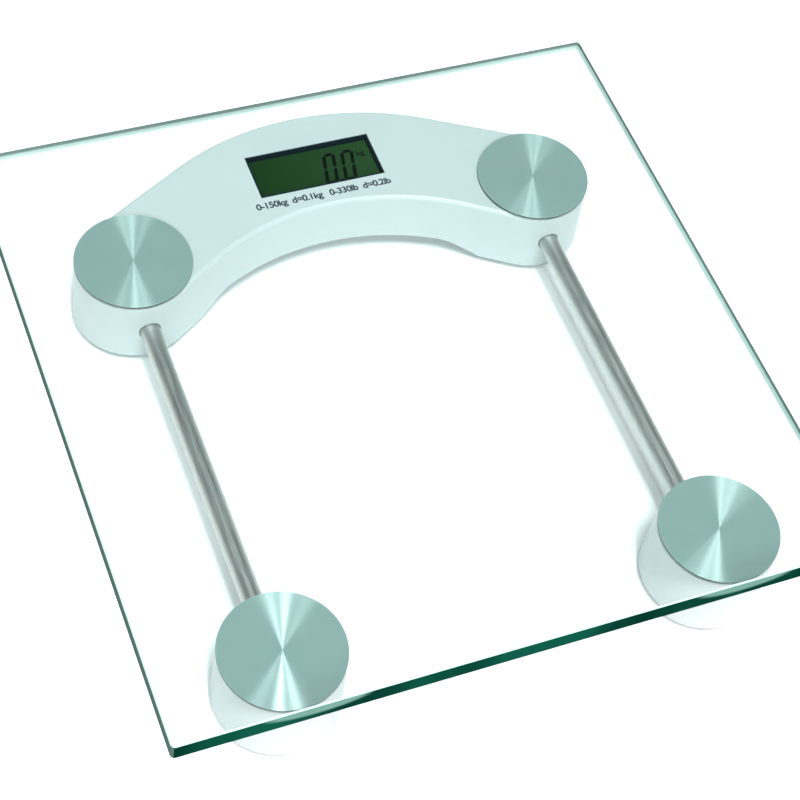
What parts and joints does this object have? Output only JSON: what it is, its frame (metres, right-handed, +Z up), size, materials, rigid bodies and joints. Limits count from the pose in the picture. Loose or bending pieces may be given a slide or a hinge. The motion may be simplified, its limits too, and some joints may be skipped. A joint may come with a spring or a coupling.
{
  "type": "glass platform scale",
  "caption": "Square glass platform scale on round foot pods with spun metal discs, a crescent display housing and steel conduit tubes.",
  "frame": {"origin": "centre of the footprint on the floor, under the rubber foot pads", "axes": "+Z up through the platform, +X to the right, +Y towards the display, with the user standing at -Y"},
  "size_m": [0.3, 0.3, 0.0475],
  "materials": {
    "clear_glass": "clear tempered float glass with polished, faintly green edges",
    "aqua_plastic": "pale aqua ABS with a fine satin gloss",
    "grey_plastic": "fine-textured grey ABS",
    "spun_aluminium": "circular spun grain",
    "foam_tape": "thin white foam adhesive tape",
    "glue_film": "clear cured adhesive film",
    "satin_steel": "satin stainless tube",
    "white_nylon": "natural nylon",
    "plated_steel": "zinc-plated spring steel",
    "screw_steel": "zinc-plated pan-head screws",
    "foot_plastic": "light grey ABS",
    "foot_rubber": "soft grey rubber",
    "dark_bezel": "dark blue-green plastic",
    "display_glass": "dark green reflective display",
    "reflector_foil": "matt foil",
    "zebra_rubber": "layered conductive silicone",
    "board_green": "solder-masked fibreglass",
    "black_epoxy": "black epoxy",
    "switch_metal": "nickel-plated can",
    "switch_black": "black moulded switch",
    "cell_nickel": "nickel-plated steel",
    "button_plastic": "dark grey ABS",
    "lead_pvc": "grey PVC sleeve"
  },
  "bodies": {
    "scale_body": {"base_screws": "screw_steel", "battery_contact": "cell_nickel", "battery_holder": "white_nylon", "board_components": "black_epoxy", "board_screws": "screw_steel", "bond_tapes": "foam_tape", "cable_front_left": "lead_pvc", "cable_front_right": "lead_pvc", "cable_rear_left": "lead_pvc", "cable_rear_right": "lead_pvc", "carrier_screws_front_left": "screw_steel", "carrier_screws_front_right": "screw_steel", "carrier_screws_rear_left": "screw_steel", "carrier_screws_rear_right": "screw_steel", "cell_carrier_front_left": "white_nylon", "cell_carrier_front_right": "white_nylon", "cell_carrier_rear_left": "white_nylon", "cell_carrier_rear_right": "white_nylon", "chip_blob": "black_epoxy", "clear_glue": "glue_film", "coin_cell": "cell_nickel", "conduit_tube_left": "satin_steel", "conduit_tube_right": "satin_steel", "display_housing": "aqua_plastic", "glass_platform": "clear_glass", "housing_base": "grey_plastic", "lcd_bezel": "dark_bezel", "lcd_holder": "white_nylon", "lcd_panel": "display_glass", "lcd_reflector": "reflector_foil", "load_cell_front_left": "plated_steel", "load_cell_front_right": "plated_steel", "load_cell_rear_left": "plated_steel", "load_cell_rear_right": "plated_steel", "main_board": "board_green", "pod_base_front_left": "grey_plastic", "pod_base_front_right": "grey_plastic", "pod_base_rear_left": "grey_plastic", "pod_base_rear_right": "grey_plastic", "pod_shell_front_left": "aqua_plastic", "pod_shell_front_right": "aqua_plastic", "spun_disc_front_left": "spun_aluminium", "spun_disc_front_right": "spun_aluminium", "spun_disc_rear_left": "spun_aluminium", "spun_disc_rear_right": "spun_aluminium", "tact_switch": "switch_black", "vibration_switch": "switch_metal", "zebra_strip": "zebra_rubber"},
    "foot_rear_left": {"foot_cup_rear_left": "foot_plastic", "foot_pad_rear_left": "foot_rubber"},
    "foot_rear_right": {"foot_cup_rear_right": "foot_plastic", "foot_pad_rear_right": "foot_rubber"},
    "foot_front_left": {"foot_cup_front_left": "foot_plastic", "foot_pad_front_left": "foot_rubber"},
    "foot_front_right": {"foot_cup_front_right": "foot_plastic", "foot_pad_front_right": "foot_rubber"},
    "battery_lid": {"battery_cover": "grey_plastic"},
    "unit_key": {"unit_button": "button_plastic"}
  },
  "joints": [
    {"name": "foot_travel_rear_left", "type": "slide", "parent": "scale_body", "child": "foot_rear_left", "axis": [0, 0, 1], "range_m": [0, 0.0008], "stiffness_N_per_m": 3000, "springref_m": -0.003},
    {"name": "foot_travel_rear_right", "type": "slide", "parent": "scale_body", "child": "foot_rear_right", "axis": [0, 0, 1], "range_m": [0, 0.0008], "stiffness_N_per_m": 3000, "springref_m": -0.003},
    {"name": "foot_travel_front_left", "type": "slide", "parent": "scale_body", "child": "foot_front_left", "axis": [0, 0, 1], "range_m": [0, 0.0008], "stiffness_N_per_m": 3000, "springref_m": -0.003},
    {"name": "foot_travel_front_right", "type": "slide", "parent": "scale_body", "child": "foot_front_right", "axis": [0, 0, 1], "range_m": [0, 0.0008], "stiffness_N_per_m": 3000, "springref_m": -0.003},
    {"name": "battery_lid_turn", "type": "hinge", "parent": "scale_body", "child": "battery_lid", "pos_m": [0, 0.11, 0.0106], "axis": [0, 0, -1], "range_deg": [0, 50]},
    {"name": "unit_key_press", "type": "slide", "parent": "scale_body", "child": "unit_key", "axis": [0, 0, 1], "range_m": [0, 0.0008], "stiffness_N_per_m": 300, "springref_m": -0.0003}
  ]
}
